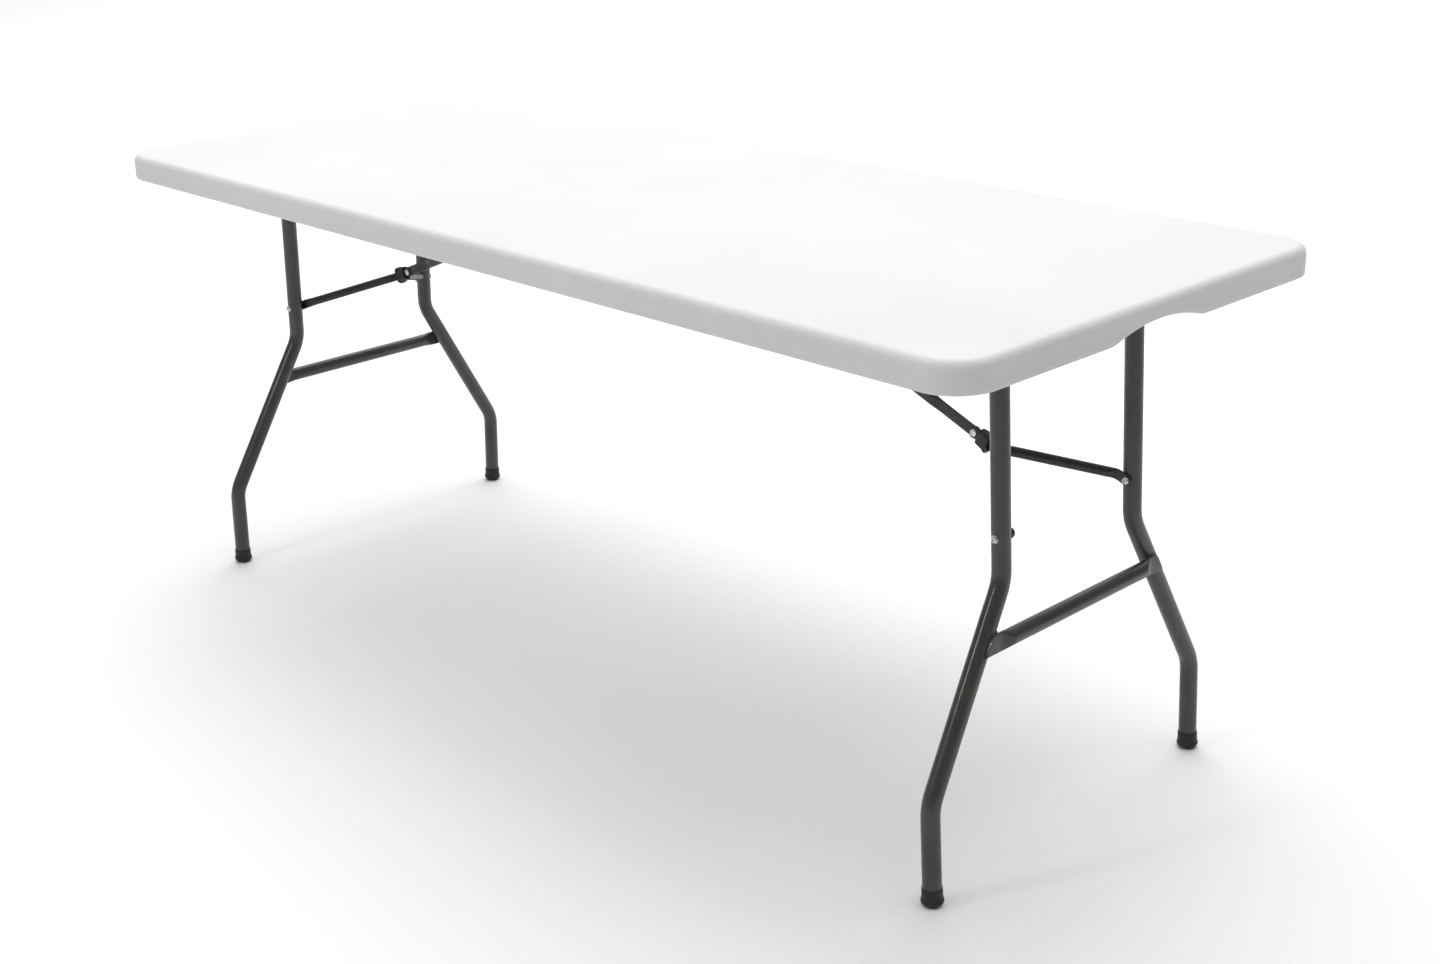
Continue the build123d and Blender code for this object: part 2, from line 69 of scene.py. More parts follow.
leg_place = Matrix.Translation(pivot) @ Matrix.Rotation(-splay, 4, "Y")
along = (hinge - pin).normalized()
square = Vector((-along.z, 0, along.x))
brace_place = Matrix.Translation(hinge) @ Matrix((
    (along.x, 0, square.x, 0),
    (0, 1, 0, 0),
    (along.z, 0, square.z, 0),
    (0, 0, 0, 1),
))
leg_length = pivot.z / math.cos(splay)

# ---------------------------------------------------------------- sizes

leg_radius = 0.0125
leg_upper_y = 0.139
leg_foot_y = 0.2835
bend_radius = 0.062
upper_bend_z = 0.3885
lower_bend_z = 0.136
leg_bolt_z = 0.446
crossbar_z = 0.3185
crossbar_offset = 0.0142
crossbar_radius = 0.011

upper_bend_down = (pivot.z - upper_bend_z) / math.cos(splay)
lower_bend_down = (pivot.z - lower_bend_z) / math.cos(splay)
slant = (leg_foot_y - leg_upper_y) / (lower_bend_down - upper_bend_down)
bolt_down = (pivot.z - leg_bolt_z) / math.cos(splay)
crossbar_down = (pivot.z - crossbar_z + crossbar_offset * math.sin(splay)) / math.cos(splay)
yoke_length = (Vector((pivot.x + bolt_down * math.sin(splay), 0, leg_bolt_z)) - hinge).length

quarter = 12
ring_count = 4 * quarter


# ---------------------------------------------------------------- mesh helpers

def section(half_u, half_v, corner, steps=quarter):
    """A rounded rectangle as (u, v) pairs; with the corner equal to both halves it is a circle."""
    corner = min(corner, half_u, half_v)
    points = []
    for turn in range(4):
        sign_u = 1 if turn in (0, 3) else -1
        sign_v = 1 if turn in (0, 1) else -1
        for step in range(steps):
            angle = math.radians(90 * (turn + (step + 0.5) / steps))
            u = sign_u * (half_u - corner) + corner * math.cos(angle)
            v = sign_v * (half_v - corner) + corner * math.sin(angle)
            points.append((u, v))
    return points


def skin(bm, rings, closed=False):
    """Joins rings of equal length with quads, and closes the two ends unless the rings form a loop."""
    loops = [[bm.verts.new(point) for point in ring] for ring in rings]
    pairs = list(zip(loops, loops[1:]))
    if closed:
        pairs.append((loops[-1], loops[0]))
    for first, second in pairs:
        count = len(first)
        for i in range(count):
            j = (i + 1) % count
            bm.faces.new((first[i], first[j], second[j], second[i]))
    if not closed:
        bm.faces.new(list(reversed(loops[0])))
        bm.faces.new(loops[-1])
    return loops


def revolve(bm, profile, axis="Z", centre=(0, 0, 0), count=ring_count, shape=None):
    """Turns (radius, height) pairs round the Z or Y axis. shape(angle, index) scales a ring's radius."""
    rings = []
    for index, (radius, height) in enumerate(profile):
        ring = []
        for step in range(count):
            angle = 2 * math.pi * step / count
            reach = radius * (shape(angle, index) if shape else 1)
            flat = (reach * math.cos(angle), reach * math.sin(angle))
            if axis == "Z":
                point = Vector((flat[0], flat[1], height))
            else:
                point = Vector((flat[1], height, flat[0]))
            ring.append(point + Vector(centre))
        rings.append(ring)
    return skin(bm, rings)


def rounded_path(corners, radius, arc_steps, run_step=0.02):
    """Points along straight runs joined by tangent arcs."""
    corners = [Vector(corner) for corner in corners]
    points = [corners[0]]

    def run_to(end):
        start = points[-1].copy()
        count = max(1, int((end - start).length / run_step))
        points.extend(start.lerp(end, (i + 1) / count) for i in range(count))

    for before, corner, after in zip(corners, corners[1:], corners[2:]):
        back = (before - corner).normalized()
        ahead = (after - corner).normalized()
        half_turn = (math.pi - back.angle(ahead)) / 2
        reach = radius * math.tan(half_turn)
        bisector = (back + ahead).normalized()
        middle = corner + bisector * (radius / math.cos(half_turn))
        start = corner + back * reach
        end = corner + ahead * reach
        run_to(start)
        first = start - middle
        last = end - middle
        for step in range(1, arc_steps + 1):
            share = step / arc_steps
            turn = first.normalized().slerp(last.normalized(), share)
            points.append(middle + turn * radius)
    run_to(corners[-1])
    return points


def sweep(bm, path, side_axis, half_sizes):
    """Skins sections along a planar path. side_axis is square to the path's plane; half_sizes(length)
    gives (half width in the plane, half width along side_axis, corner)."""
    side_axis = Vector(side_axis)
    rings = []
    length = 0
    for i, point in enumerate(path):
        before = path[max(i - 1, 0)]
        after = path[min(i + 1, len(path) - 1)]
        tangent = (after - before).normalized()
        length += (point - before).length
        in_plane = side_axis.cross(tangent).normalized()
        ring = [point + in_plane * u + side_axis * v for u, v in section(*half_sizes(length))]
        rings.append(ring)
    return skin(bm, rings)


def smooth_step(low, high, value):
    """0 below low, 1 above high, and an S-curve between."""
    share = min(max((value - low) / (high - low), 0), 1)
    return share * share * (3 - 2 * share)


def mix(first, second, share):
    """Each number of two equal tuples, mixed."""
    return tuple(a + (b - a) * share for a, b in zip(first, second))


def bead(bm, points, radius, seed, closed=False):
    """A weld bead: a small tube along points, rippled along its length."""
    rng = random.Random(seed)
    count = 10
    ripple = 0.16
    unevenness = 0.08
    rings = []
    for i, point in enumerate(points):
        before = points[i - 1] if i or closed else points[0]
        after = points[(i + 1) % len(points)] if closed or i + 1 < len(points) else point
        tangent = (after - before).normalized()
        first = (Vector((1, 0.2, 0.1)) - tangent * tangent.dot(Vector((1, 0.2, 0.1)))).normalized()
        second = tangent.cross(first)
        size = radius * (1 + ripple * math.sin(i * 1.7) + rng.uniform(-unevenness, unevenness))
        ring = []
        for step in range(count):
            angle = 2 * math.pi * step / count
            ring.append(point + first * (size * math.cos(angle)) + second * (size * math.sin(angle)))
        rings.append(ring)
    skin(bm, rings, closed=closed)


def mirror_y(bm):
    """Flips a mesh to the front half."""
    bmesh.ops.scale(bm, vec=(1, -1, 1), verts=bm.verts)
    bmesh.ops.reverse_faces(bm, faces=bm.faces)


def finish_piece(bm, name, body, material, slot, replaced, place=None, left=False, sharp=35,
                 bevel=None):
    """Turns a mesh into a piece that rides on a body."""
    if place is not None:
        bm.transform(place)
    if left:
        bmesh.ops.scale(bm, vec=(-1, 1, 1), verts=bm.verts)
        bmesh.ops.reverse_faces(bm, faces=bm.faces)
    bmesh.ops.recalc_face_normals(bm, faces=bm.faces)
    mesh = bpy.data.meshes.new(name)
    bm.to_mesh(mesh)
    bm.free()
    mesh.shade_smooth()
    mesh.set_sharp_from_angle(angle=math.radians(sharp))
    piece = bpy.data.objects.new(name, mesh)
    bpy.context.scene.collection.objects.link(piece)
    piece.data.materials.append(material)
    if bevel:
        edge = piece.modifiers.new("edges", "BEVEL")
        edge.width = bevel
        edge.segments = 3
        edge.limit_method = "ANGLE"
        edge.angle_limit = math.radians(sharp)
        edge.harden_normals = True
    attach(piece, body)
    if replaced:
        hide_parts(*replaced)
    return piece


# ---------------------------------------------------------------- materials

def new_material(name):
    """A material with its node tree and shader."""
    material = bpy.data.materials.new(name)
    material.use_nodes = True
    tree = material.node_tree
    return material, tree, tree.nodes["Principled BSDF"]


def noise_node(tree, coords, scale, detail, rough=0.5):
    """A noise texture on object coordinates."""
    node = tree.nodes.new("ShaderNodeTexNoise")
    node.inputs["Scale"].default_value = scale
    node.inputs["Detail"].default_value = detail
    node.inputs["Roughness"].default_value = rough
    tree.links.new(coords.outputs["Object"], node.inputs["Vector"])
    return node


def ramp_node(tree, source, low, high, first, second):
    """A colour ramp between two colours."""
    node = tree.nodes.new("ShaderNodeValToRGB")
    node.color_ramp.elements[0].position = low
    node.color_ramp.elements[0].color = (*first, 1)
    node.color_ramp.elements[1].position = high
    node.color_ramp.elements[1].color = (*second, 1)
    tree.links.new(source, node.inputs["Fac"])
    return node


def range_node(tree, source, low, high):
    """Maps 0..1 to a range."""
    node = tree.nodes.new("ShaderNodeMapRange")
    node.inputs["To Min"].default_value = low
    node.inputs["To Max"].default_value = high
    tree.links.new(source, node.inputs["Value"])
    return node


def bump_node(tree, source, distance, strength, after=None):
    """A bump from a height, stacked on an earlier one."""
    node = tree.nodes.new("ShaderNodeBump")
    node.inputs["Distance"].default_value = distance
    node.inputs["Strength"].default_value = strength
    tree.links.new(source, node.inputs["Height"])
    if after is not None:
        tree.links.new(after.outputs["Normal"], node.inputs["Normal"])
    return node


def coat_material(name, dark, light, grain_scale, grain_depth, rough_low, rough_high, metallic=0.0,
                  specular=0.5, patch_scale=14.0, coat=0.0):
    """A coated or moulded surface: soft colour patches, fine grain and uneven gloss."""
    material, tree, shader = new_material(name)
    coords = tree.nodes.new("ShaderNodeTexCoord")
    patches = noise_node(tree, coords, patch_scale, 5.0, 0.6)
    colour = ramp_node(tree, patches.outputs["Fac"], 0.32, 0.7, dark, light)
    tree.links.new(colour.outputs["Color"], shader.inputs["Base Color"])
    gloss = noise_node(tree, coords, patch_scale * 3.2, 6.0, 0.65)
    rough = range_node(tree, gloss.outputs["Fac"], rough_low, rough_high)
    tree.links.new(rough.outputs["Result"], shader.inputs["Roughness"])
    peel = noise_node(tree, coords, grain_scale * 0.28, 2.0)
    grain = noise_node(tree, coords, grain_scale, 3.0)
    soft = bump_node(tree, peel.outputs["Fac"], grain_depth * 2.2, 0.5)
    fine = bump_node(tree, grain.outputs["Fac"], grain_depth, 0.6, soft)
    tree.links.new(fine.outputs["Normal"], shader.inputs["Normal"])
    shader.inputs["Metallic"].default_value = metallic
    shader.inputs["Specular IOR Level"].default_value = specular
    shader.inputs["Coat Weight"].default_value = coat
    shader.inputs["Coat Roughness"].default_value = 0.09
    return material


def top_material():
    """White moulded polyethylene: pebbled skin, faint flow marks and light scuffs."""
    material, tree, shader = new_material("moulded_white")
    coords = tree.nodes.new("ShaderNodeTexCoord")
    clouds = noise_node(tree, coords, 3.5, 4.0, 0.55)
    colour = ramp_node(tree, clouds.outputs["Fac"], 0.3, 0.72, (0.665, 0.665, 0.661), (0.705, 0.705, 0.700))
    tree.links.new(colour.outputs["Color"], shader.inputs["Base Color"])
    scuffs = noise_node(tree, coords, 26.0, 8.0, 0.7)
    rough = range_node(tree, scuffs.outputs["Fac"], 0.42, 0.6)
    tree.links.new(rough.outputs["Result"], shader.inputs["Roughness"])
    pebble = tree.nodes.new("ShaderNodeTexVoronoi")
    pebble.feature = "SMOOTH_F1"
    pebble.inputs["Scale"].default_value = 420.0
    pebble.inputs["Smoothness"].default_value = 0.6
    tree.links.new(coords.outputs["Object"], pebble.inputs["Vector"])
    waves = noise_node(tree, coords, 11.0, 2.0)
    sag = bump_node(tree, waves.outputs["Fac"], 0.0012, 0.25)
    skin_bump = bump_node(tree, pebble.outputs["Distance"], 0.00018, 0.55, sag)
    tree.links.new(skin_bump.outputs["Normal"], shader.inputs["Normal"])
    shader.inputs["Subsurface Weight"].default_value = 0.08
    shader.inputs["Subsurface Radius"].default_value = (0.006, 0.005, 0.0045)
    shader.inputs["Subsurface Scale"].default_value = 1.0
    shader.inputs["Specular IOR Level"].default_value = 0.12
    return material


white_plastic = top_material()
powder_coat = coat_material("powder_coat_grey", (0.031, 0.032, 0.027), (0.046, 0.047, 0.040), 900.0,
                            0.00009, 0.34, 0.46, specular=0.45, coat=0.3)
# The stem and arms get a darker copy of the powder coat: painted shade standing in for the shade they sit
# in under the top.
brace_coat_painted_shade = coat_material("powder_coat_painted_shade", (0.013, 0.0135, 0.012), (0.023, 0.0235, 0.021), 900.0,
                           0.00009, 0.38, 0.5, specular=0.4, coat=0.2)
black_nylon = coat_material("black_nylon", (0.008, 0.008, 0.008), (0.018, 0.018, 0.017), 1500.0, 0.00012,
                            0.38, 0.55)
black_rubber = coat_material("black_rubber", (0.007, 0.007, 0.006), (0.02, 0.02, 0.018), 1300.0, 0.0002,
                             0.42, 0.62, specular=0.4)
zinc = coat_material("zinc_plate", (0.5, 0.5, 0.5), (0.78, 0.79, 0.8), 1700.0, 0.00006, 0.18, 0.38,
                     metallic=1.0, patch_scale=120.0)
weld_coat = coat_material("coated_weld", (0.032, 0.033, 0.029), (0.062, 0.062, 0.056), 700.0, 0.0004,
                          0.28, 0.5, specular=0.6, patch_scale=160.0)

# ---------------------------------------------------------------- tabletop

corner_radius = 0.058
edge_radius = 0.013
skirt_thickness = 0.016
arch_half_width = 0.092
arch_height = 0.015
arch_foot = 0.006
dimple_pitch_x = 0.120
dimple_rows = (0.075, 0.150, 0.225, 0.285)
channel_start = 0.150
channel_end = 0.706
channel_half_width = 0.020
channel_roof = 0.735


def arch_lift(y):
    """How far the lower edge of an end skirt rises at a place across the table."""
    radius = (arch_half_width ** 2 + arch_height ** 2) / (2 * arch_height)
    rise = math.sqrt(max(radius ** 2 - y * y, 0)) - radius + arch_height
    softness = arch_foot * arch_height / arch_half_width
    return 0.5 * (rise + math.sqrt(rise * rise + softness * softness))


def outline(inset):
    """The table's outline moved inwards: evenly divided straight sides and round corners."""
    half_x = table_half_x - inset
    half_y = table_half_y - inset
    radius = max(corner_radius - inset, 0.004)
    straight_x = table_half_x - corner_radius
    straight_y = table_half_y - corner_radius
    reach_x = half_x - radius
    reach_y = half_y - radius
    ends = [straight_y * (-1 + 2 * i / 100) for i in range(101)]
    sides = [straight_x * (-1 + 2 * i / 60) for i in range(61)]
    arc = [math.radians(90 * (i + 0.5) / 24) for i in range(24)]
    points = [(half_x, y * reach_y / straight_y) for y in ends]
    points += [(reach_x + radius * math.cos(a), reach_y + radius * math.sin(a)) for a in arc]
    points += [(-x * reach_x / straight_x, half_y) for x in sides]
    points += [(-reach_x - radius * math.sin(a), reach_y + radius * math.cos(a)) for a in arc]
    points += [(-half_x, -y * reach_y / straight_y) for y in ends]
    points += [(-reach_x - radius * math.cos(a), -reach_y - radius * math.sin(a)) for a in arc]
    points += [(x * reach_x / straight_x, -half_y) for x in sides]
    points += [(reach_x + radius * math.sin(a), -reach_y - radius * math.cos(a)) for a in arc]
    return points


def quarter_round(centre_inset, centre_z, radius, start, end, steps):
    """(inset, z) pairs on an arc; 0 degrees points to a smaller inset and 90 degrees up."""
    pairs = []
    for i in range(steps + 1):
        angle = math.radians(start + (end - start) * i / steps)
        pairs.append((centre_inset - radius * math.cos(angle), centre_z + radius * math.sin(angle)))
    return pairs


def skirt_profile():
    """The section of the rim from the top face, down the outside, and up the inside to the underside."""
    lip = 0.0026
    seam_z = skirt_z + 0.0062
    seam = 0.0002
    profile = [(0.060, table_z), (0.030, table_z)]
    profile += quarter_round(edge_radius, table_z - edge_radius, edge_radius, 90, 0, 12)
    profile += [(0, seam_z + 0.012), (0, seam_z + 0.0009), (-seam, seam_z + 0.0004)]
    profile += [(-seam, seam_z - 0.0004), (0, seam_z - 0.0009)]
    profile += quarter_round(lip, skirt_z + lip, lip, 0, -90, 6)
    profile += quarter_round(skirt_thickness - lip, skirt_z + lip, lip, -90, -180, 6)
    profile += [(skirt_thickness, skirt_z + 0.012)]
    profile += quarter_round(skirt_thickness + 0.005, underside_z - 0.005, 0.005, 180, 90, 6)
    return profile


def make_tabletop():
    """The moulded top, with arches in the end skirts."""
    bm = bmesh.new()
    end_depth = 0.04
    rings = []
    lift_top = table_z - edge_radius
    for inset, z in skirt_profile():
        on_skirt = inset < skirt_thickness + 0.0001
        share = min(max((lift_top - z) / (lift_top - skirt_z), 0), 1) if on_skirt else 0
        ring = []
        for x, y in outline(inset):
            near_end = abs(x) > table_half_x - end_depth
            lift = arch_lift(y) * share if near_end else 0
            ring.append((x, y, z + lift))
        rings.append(ring)
    skin(bm, rings)
    return bm


def dimple_cutter(bm, x, y):
    """One moulded dimple, with a rounded mouth and a rounded tip."""
    mouth = underside_z
    profile = [(0.0118, mouth - 0.0002), (0.0106, mouth + 0.0001), (0.0098, mouth + 0.0006),
               (0.0093, mouth + 0.0014), (0.0072, mouth + 0.0066), (0.0064, mouth + 0.0076),
               (0.0052, mouth + 0.0080)]
    revolve(bm, profile, centre=(x, y, 0), count=32)


def channel_cutter(bm, side):
    """The long moulded channel above a folded brace."""
    middle = side * (channel_start + channel_end) / 2
    half = (channel_end - channel_start) / 2
    steps = [(0.0018, underside_z - 0.0002), (0.0007, underside_z + 0.0003), (0, underside_z + 0.0015),
             (-0.0004, channel_roof - 0.0022), (-0.0012, channel_roof - 0.0007), (-0.0028, channel_roof)]
    rings = []
    for grow, z in steps:
        corners = section(half + grow, channel_half_width + grow, 0.012 + grow)
        rings.append([Vector((middle + u, v, z)) for u, v in corners])
    skin(bm, rings)


def carve(piece, cutter_mesh):
    """Cuts a mesh from a piece and keeps the result as its mesh."""
    cutter = bpy.data.objects.new("cutter", cutter_mesh)
    bpy.context.scene.collection.objects.link(cutter)
    cut = piece.modifiers.new("cut", "BOOLEAN")
    cut.operation = "DIFFERENCE"
    cut.solver = "EXACT"
    cut.object = cutter
    bpy.context.view_layer.update()
    graph = bpy.context.evaluated_depsgraph_get()
    result = bpy.data.meshes.new_from_object(piece.evaluated_get(graph))
    piece.modifiers.clear()
    piece.data = result
    bpy.data.objects.remove(cutter)
    result.shade_smooth()
    result.set_sharp_from_angle(angle=math.radians(32))


def build_tabletop():
    """The top, with the dimples and channels of its underside."""
    piece = finish_piece(make_tabletop(), "moulded_top", "table_top", white_plastic, "top_plastic",
                         ["tabletop"])
    cutters = bmesh.new()
    columns = int(table_half_x / dimple_pitch_x)
    for column in range(columns):
        for row in dimple_rows:
            for sign_x in (-1, 1):
                for sign_y in (-1, 1):
                    dimple_cutter(cutters, sign_x * (column + 0.5) * dimple_pitch_x, sign_y * row)
    for side in (-1, 1):
        channel_cutter(cutters, side)
    bmesh.ops.recalc_face_normals(cutters, faces=cutters.faces)
    mesh = bpy.data.meshes.new("cutters")
    cutters.to_mesh(mesh)
    cutters.free()
    carve(piece, mesh)


# ---------------------------------------------------------------- leg frames

def leg_path():
    """The centreline of a rear leg in the leg's own frame."""
    top_gap = 0.004
    foot_gap = 0.004
    return rounded_path([
        (0, leg_upper_y, -top_gap),
        (0, leg_upper_y, -upper_bend_down),
        (0, leg_foot_y, -lower_bend_down),
        (0, leg_foot_y, -leg_length + foot_gap),
    ], bend_radius, 18)


def make_leg():
    """A bent tube, very slightly flattened in its bends."""
    bm = bmesh.new()
    bend_reach = 0.016
    flattening = 0.035
    path = leg_path()
    total = [0.0]
    for first, second in zip(path, path[1:]):
        total.append(total[-1] + (second - first).length)
    bends = []
    for centre in (upper_bend_down, lower_bend_down):
        nearest = min(range(len(path)), key=lambda i: abs(path[i].z + centre))
        bends.append(total[nearest])

    def size(length):
        squeeze = max(math.exp(-((length - bend) / bend_reach) ** 2) for bend in bends)
        return leg_radius * (1 - flattening * squeeze), leg_radius, leg_radius

    sweep(bm, path, (1, 0, 0), size)
    return bm


def make_foot_cap():
    """A push-on cap with a flared lip, two faint ribs and a rounded sole that stands flat."""
    bm = bmesh.new()
    profile = [(0.0088, -0.0004), (0.0102, 0.0001), (0.0116, 0.0012), (0.0132, 0.0030), (0.0145, 0.0048),
               (0.01495, 0.0060), (0.0150, 0.0072), (0.0147, 0.0086), (0.0141, 0.0106), (0.01365, 0.0130),
               (0.0135, 0.0150), (0.0137, 0.0156), (0.0137, 0.0166), (0.01345, 0.0172), (0.01345, 0.0196),
               (0.0137, 0.0202), (0.0137, 0.0212), (0.01345, 0.0218), (0.0134, 0.0240), (0.0132, 0.0248),
               (0.01285, 0.0250), (0.0126, 0.0247)]
    revolve(bm, profile)
    bm.transform(leg_place @ Matrix.Translation((0, leg_foot_y, -leg_length)))
    for vert in bm.verts:
        vert.co.z = max(vert.co.z, 0)
    return bm


def leg_center_y(down):
    """The leg's centre across the table, on its slanted stretch."""
    return leg_upper_y + (down - upper_bend_down) * slant


def make_crossbar():
    """A tube whose flattened ends lap the outside of the legs, cut in line with them."""
    bm = bmesh.new()
    neck_start = 0.140
    flat_start = 0.161
    flat_half = 0.0128
    flat_half_thickness = 0.0022
    flat_corner = 0.0014
    sunk = 0.0006
    overhang = 0.003
    end_radius = 0.004
    end_y = leg_center_y(crossbar_down) + overhang
    flat_x = leg_radius - sunk + flat_half_thickness
    round_sizes = (crossbar_radius,) * 3
    flat_sizes = (flat_half_thickness, flat_half, flat_corner)
    stations = [neck_start * (i / 10) for i in range(11)]
    stations += [neck_start + (flat_start - neck_start) * (i + 1) / 10 for i in range(10)]
    stations += [flat_start + (end_y - end_radius - flat_start) * (i + 1) / 4 for i in range(4)]
    stations += [end_y - end_radius * (1 - math.sin(math.radians(15 * (i + 1)))) for i in range(6)]
    full = [-y for y in reversed(stations[1:])] + stations
    rings = []
    for y in full:
        share = smooth_step(neck_start, flat_start, abs(y))
        x = mix((crossbar_offset,), (flat_x,), share)[0]
        half_x, half_z, corner = mix(round_sizes, flat_sizes, share)
        past = max(abs(y) - end_y + end_radius, 0)
        half_z -= end_radius - math.sqrt(max(end_radius ** 2 - past ** 2, 0))
        lean = smooth_step(flat_start, end_y, abs(y)) * slant * (1 if y > 0 else -1)
        edge = section(half_x, half_z, corner)
        rings.append([Vector((x + u, y - lean * v, v - crossbar_down)) for u, v in edge])
    skin(bm, rings)
    return bm


def make_pivot_tube():
    """The tube that carries both legs, with a reduced journal at each end."""
    bm = bmesh.new()
    tip = 0.3365
    shoulder = 0.3095
    run_half = 0.3
    journal = 0.0070
    half = [(0.0062, -tip), (journal, -tip + 0.0008), (journal, -shoulder - 0.001), (0.0074, -shoulder),
            (0.0110, -shoulder + 0.0006), (0.0122, -shoulder + 0.0022), (leg_radius, -shoulder + 0.0045)]
    runs = [(leg_radius, run_half * (-1 + i / 6)) for i in range(13)]
    other = [(radius, -y) for radius, y in reversed(half)]
    revolve(bm, half + runs + other, axis="Y")
    return bm


def make_welds():
    """The weld beads round the leg's top and along the crossbar's lapped end, for a rear leg."""
    bm = bmesh.new()
    bead_radius = 0.0014
    saddle_radius = 1.01 * leg_radius
    saddle_low = 0.0035
    seam_offset = 0.0130
    seam_start = -0.0095
    seam_length = 0.0125
    lift = 0.0004
    saddle_steps = 72
    seam_steps = 12
    saddle = []
    for step in range(saddle_steps):
        angle = 2 * math.pi * step / saddle_steps
        x = saddle_radius * math.cos(angle)
        y = saddle_radius * math.sin(angle)
        drop = math.sqrt(max(saddle_radius ** 2 - x * x, 0))
        saddle.append(Vector((x, leg_upper_y + y, -max(drop, saddle_low))))
    bead(bm, saddle, bead_radius, 3, closed=True)
    for side, seed in ((-1, 5), (1, 8)):
        z = -crossbar_down + side * seam_offset
        middle = leg_center_y(-z)
        seam = []
        for step in range(seam_steps + 1):
            across = seam_start + seam_length * step / seam_steps
            reach = math.sqrt(leg_radius ** 2 - (across * math.cos(math.atan(slant))) ** 2)
            seam.append(Vector((reach + lift, middle + across, z)))
        bead(bm, seam, bead_radius, seed)
    return bm


# ---------------------------------------------------------------- bolt heads and nuts

bolt_head_radius = 0.0052
bolt_head_height = 0.0030
leg_head_radius = 0.0044
low_head_height = 0.0019
shank_radius = 0.0030
washer_radius = 0.0054
washer_height = 0.0008
leg_face_y = leg_upper_y + leg_radius


def hex_socket(depth_start):
    """A ring scale that turns the rings past an index into a hexagon."""
    def shape(angle, index):
        if index < depth_start:
            return 1
        sector = (angle % math.radians(60)) - math.radians(30)
        return math.cos(math.radians(30)) / math.cos(sector)
    return shape


def cross_socket(depth_start):
    """A ring scale that turns the rings past an index into a cross."""
    def shape(angle, index):
        if index < depth_start:
            return 1
        across = max(abs(math.cos(angle)), abs(math.sin(angle)))
        beside = max(min(abs(math.cos(angle)), abs(math.sin(angle))), 0.001)
        return min(1 / across, 0.26 / beside)
    return shape


def domed_head(bm, centre, direction, radius=bolt_head_radius):
    """A button head with a hexagon socket, on a face that looks along direction (+1 or -1 in Y)."""
    height = bolt_head_height
    socket = radius * 0.4
    base = [(radius, 0), (radius, height * 0.22), (radius * 0.97, height * 0.42),
            (radius * 0.86, height * 0.72), (radius * 0.7, height * 0.92), (socket * 1.22, height),
            (socket * 1.12, height * 0.985), (socket * 1.02, height * 0.9), (socket * 0.98, height * 0.4),
            (socket * 0.5, height * 0.32)]
    profile = [(r, direction * h) for r, h in base]
    revolve(bm, profile, axis="Y", centre=centre, shape=hex_socket(5))


def low_head(bm, centre, direction):
    """A low head with a cross recess, on a face that looks along direction (+1 or -1 in Y)."""
    base = [(bolt_head_radius - 0.0001, 0), (bolt_head_radius, 0.0004), (bolt_head_radius, 0.0009),
            (0.0049, 0.0014), (0.0043, 0.0017), (0.0036, 0.0018), (0.0030, low_head_height),
            (0.0029, 0.0018), (0.0028, 0.0012), (0.0024, 0.0010)]
    profile = [(r, direction * h) for r, h in base]
    revolve(bm, profile, axis="Y", centre=centre, shape=cross_socket(7))


def cap_nut(bm, centre, direction):
    """A smooth rounded nut cover standing on a face that looks along direction (+1 or -1 in Y)."""
    base = [(0.0070, -0.0003), (0.0070, 0.0014), (0.0068, 0.0024), (0.0062, 0.0035), (0.0052, 0.0044),
            (0.0038, 0.0050), (0.0022, 0.0052)]
    revolve(bm, [(r, direction * h) for r, h in base], axis="Y", centre=centre)


def make_leg_bolt():
    """The bolt head and washer outside a leg, built for the rear leg."""
    bm = bmesh.new()
    base = [(shank_radius, -0.0006), (washer_radius - 0.0003, -0.0005), (washer_radius, -0.0002),
            (washer_radius, 0.0006), (washer_radius - 0.0002, washer_height), (shank_radius, washer_height)]
    washer = [(r, leg_face_y + h) for r, h in base]
    revolve(bm, washer, axis="Y", centre=(0, 0, -bolt_down))
    domed_head(bm, (0, leg_face_y + washer_height, -bolt_down), 1, leg_head_radius)
    return bm


def make_leg_nut():
    """The low rounded nut outside the rear leg."""
    bm = bmesh.new()
    base = [(washer_radius - 0.0003, -0.0006), (washer_radius, -0.0003), (washer_radius, 0.0004),
            (0.0052, 0.0008), (0.0047, 0.0011), (0.0036, 0.0013), (0.0018, 0.0013)]
    revolve(bm, [(r, leg_face_y + h) for r, h in base], axis="Y", centre=(0, 0, -bolt_down))
    return bm


def front_and_rear(make):
    """A rear mesh and its front mirror image in one."""
    rear = make()
    front = make()
    mirror_y(front)
    mesh = bpy.data.meshes.new("half")
    front.to_mesh(mesh)
    front.free()
    rear.from_mesh(mesh)
    bpy.data.meshes.remove(mesh)
    return rear


def build_leg_frame(end):
    """All pieces of one folding leg frame."""
    left = end == "left"
    body = "leg_frame_" + end

    def add(bm, name, material, slot, replaced, place=leg_place, **more):
        old = [f"{node}_{end}" for node in replaced]
        finish_piece(bm, f"{name}_{end}", body, material, slot, old, place, left, **more)

    for half in ("rear", "front"):
        leg = make_leg()
        cap = make_foot_cap()
        if half == "front":
            mirror_y(leg)
            mirror_y(cap)
        add(leg, f"leg_tube_{half}", powder_coat, "frame_steel", [f"leg_{half}"], sharp=50)
        add(cap, f"foot_{half}", black_rubber, "foot_rubber", [f"foot_cap_{half}"], None, sharp=60)
    add(make_crossbar(), "lower_bar", powder_coat, "frame_steel", ["crossbar"], sharp=50, bevel=0.0004)
    add(make_pivot_tube(), "pivot_bar", powder_coat, "frame_steel", ["pivot_tube"], sharp=50)
    add(front_and_rear(make_welds), "welds", weld_coat, "frame_steel", [], sharp=80)
    bolt = make_leg_bolt()
    mirror_y(bolt)
    add(bolt, "leg_bolt_head", zinc, "zinc_steel", ["leg_bolt_front"], sharp=40)
    add(make_leg_nut(), "leg_cap_nut", black_nylon, "black_plastic", ["leg_nut_rear"], sharp=60)


